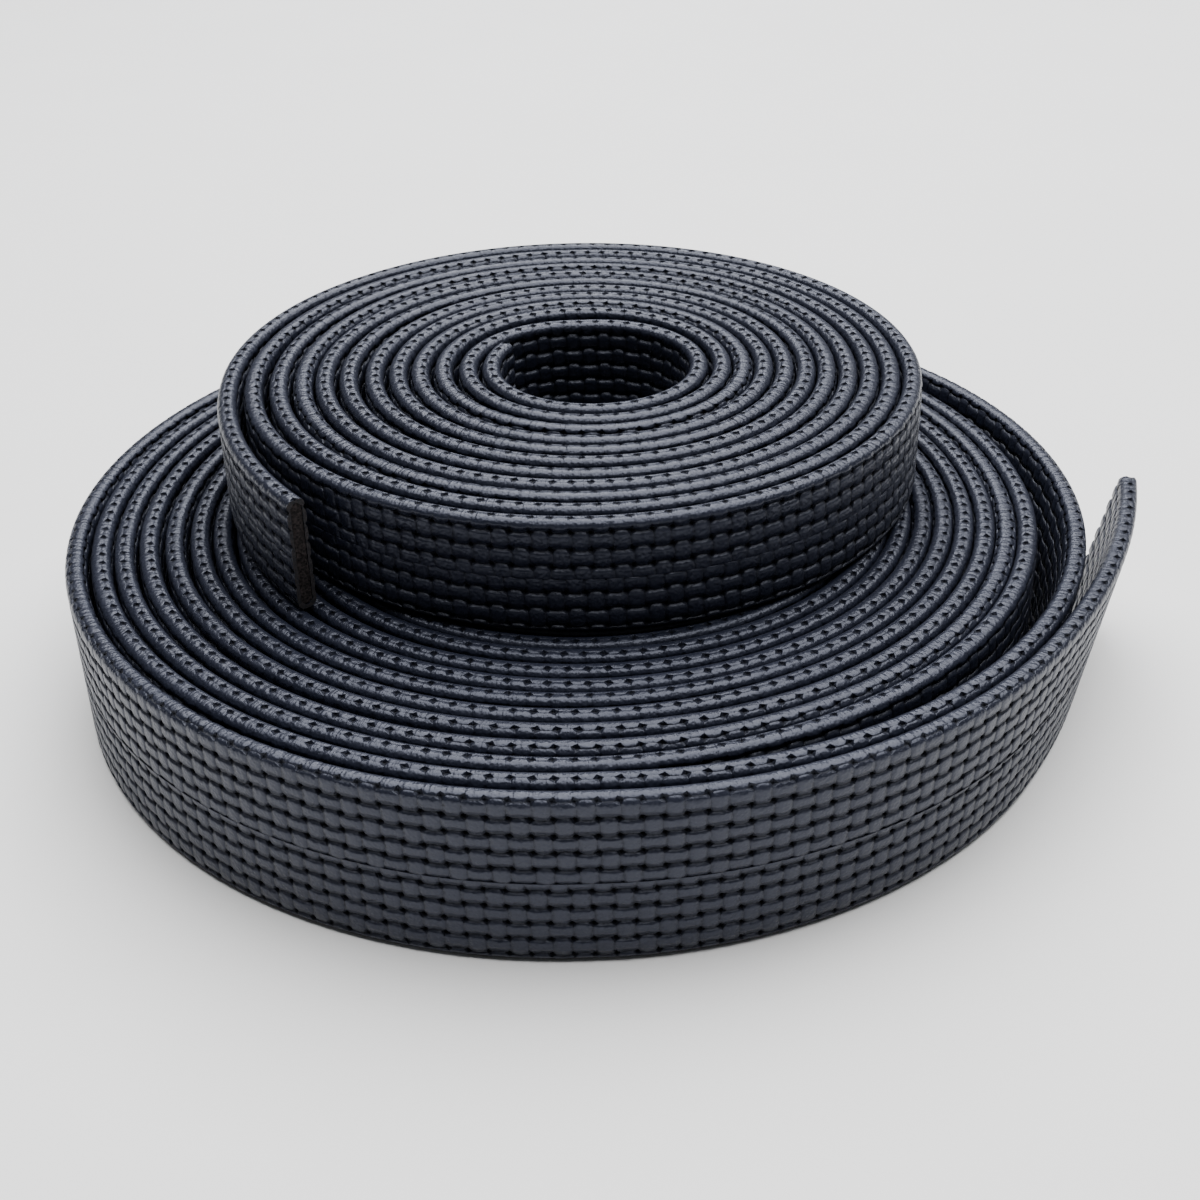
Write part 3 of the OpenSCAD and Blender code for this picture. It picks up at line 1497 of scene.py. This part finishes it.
@dataclass(frozen=True)
class Studio:
    """A white floor under a wide soft light, a pale wall, and the camera."""

    camera_place: Vector = Vector((-5.8, -276.04, 176.23)) * MM
    pitch: float = 0.549  # radians down
    yaw: float = 0.020  # radians towards +X
    roll: float = -0.021
    lens: float = 51.96
    sensor: float = 36.0
    clip: tuple[float, float] = (0.01, 20.0)
    lights: tuple[SoftLight, ...] = (
        SoftLight("overhead", Vector((0.12, 0.30, 1.05)), 1.6, 50.0, "#ffffff"),
        SoftLight("rear_window", Vector((0.05, 1.1, 0.75)), 0.4, 3.0, "#eef3ff"),
    )
    floor_size: float = 2.8
    room: float = 0.08  # strength of the room's light on the rolls
    wall: float = 1.0  # how bright the far wall looks

    def place_camera(self) -> None:
        """Puts the camera in place."""
        data = bpy.data.cameras.new("camera")
        data.lens = self.lens
        data.sensor_width = self.sensor
        data.clip_start, data.clip_end = self.clip
        camera = bpy.data.objects.new("camera", data)
        bpy.context.scene.collection.objects.link(camera)
        forward = Vector(
            (
                math.sin(self.yaw) * math.cos(self.pitch),
                math.cos(self.yaw) * math.cos(self.pitch),
                -math.sin(self.pitch),
            )
        )
        right = Vector((math.cos(self.yaw), -math.sin(self.yaw), 0.0))
        up = right.cross(forward)
        turned_right = math.cos(self.roll) * right + math.sin(self.roll) * up
        turned_up = math.cos(self.roll) * up - math.sin(self.roll) * right
        axes = Matrix((turned_right, turned_up, -forward)).transposed()
        camera.matrix_world = Matrix.Translation(self.camera_place) @ axes.to_4x4()
        bpy.context.scene.camera = camera

    def light(self) -> None:
        """Lights the scene: a wide source overhead, a small one behind, a dim room."""
        for light in self.lights:
            light.hang()
        world = bpy.data.worlds.new("dim_room")
        world.use_nodes = True
        background = world.node_tree.nodes["Background"]
        background.inputs["Color"].default_value = linear("#ffffff")
        # A pale wall to look at, which hardly lights the rolls
        seen = add_node(world.node_tree, "ShaderNodeLightPath").outputs["Is Camera Ray"]
        strength = add_node(
            world.node_tree, MATH, seen, self.wall - self.room, self.room, operation="MULTIPLY_ADD"
        )
        world.node_tree.links.new(strength.outputs[0], background.inputs["Strength"])
        bpy.context.scene.world = world

    def lay_floor(self) -> None:
        """Lays the floor that the wide roll lies on."""
        half, level = self.floor_size / 2, cad_box[0][2]
        corners = [(-half, -half), (half, -half), (half, half), (-half, half)]
        mesh = bpy.data.meshes.new("floor")
        mesh.from_pydata([(x, y, level) for x, y in corners], [], [(0, 1, 2, 3)])
        mesh.materials.append(PaintedBoard().material())
        floor = bpy.data.objects.new("floor", mesh)
        bpy.context.scene.collection.objects.link(floor)


# --------------------------------------------------------------------------
# The whole model
# --------------------------------------------------------------------------


def main() -> None:
    """Builds the camera, both straps and the studio."""
    logging.basicConfig(level=logging.INFO, format="%(name)s: %(message)s")
    studio = Studio()
    studio.place_camera()

    weave = BasketWeave()
    cover_tree = CoverTree(weave)
    core_tree = CoreTree(grain=0.5 * MM, depth=0.12 * MM)
    finishes = Finishes(
        EmbossedFauxLeather(weave).material(),
        CutSheet().material(),
        OpenCellFoam().material(),
    )
    thickness = 3.5 * MM
    lower = Strap(
        name="lower",
        winding=Winding(
            eye=Vector((0.0, 0.0)),
            eye_radius=19.0 * MM,
            thickness=thickness,
            tight=3.6 * MM,
            loose=4.2 * MM,
            slack=0.25 * MM,
            slack_angle=20.0,
            half_turns=32,
            end_angle=17 * TURN + 320,
            end_radius=145.0 * MM,
            end_length=64.0 * MM,
            bulge_turns=(17, 18),
            bulge_run=4.8 * MM,
        ),
        finishes=finishes,
        cover_tree=cover_tree,
        core_tree=core_tree,
        lip_row=0.55 * MM,
        hidden_to=9.0 * TURN,
        lean=4.2 * MM,
        lean_from=16.75 * TURN,
        end_lean=2.4 * MM,
    )
    upper = Strap(
        name="upper",
        winding=Winding(
            eye=Vector((0.0, 13.2)) * MM,
            eye_radius=17.0 * MM,
            thickness=thickness,
            tight=3.74 * MM,
            loose=4.22 * MM,
            slack=0.3 * MM,
            slack_angle=70.0,
            half_turns=19,
            end_angle=11 * TURN + 180,
            end_radius=81.0 * MM,
            end_length=54.0 * MM,
        ),
        finishes=finishes,
        cover_tree=cover_tree,
        core_tree=core_tree,
        lip_row=2.3 * MM,
        hidden_to=0.0,
    )
    lower.build()
    upper.build()
    studio.light()
    studio.lay_floor()


if __name__ == "__main__":
    main()
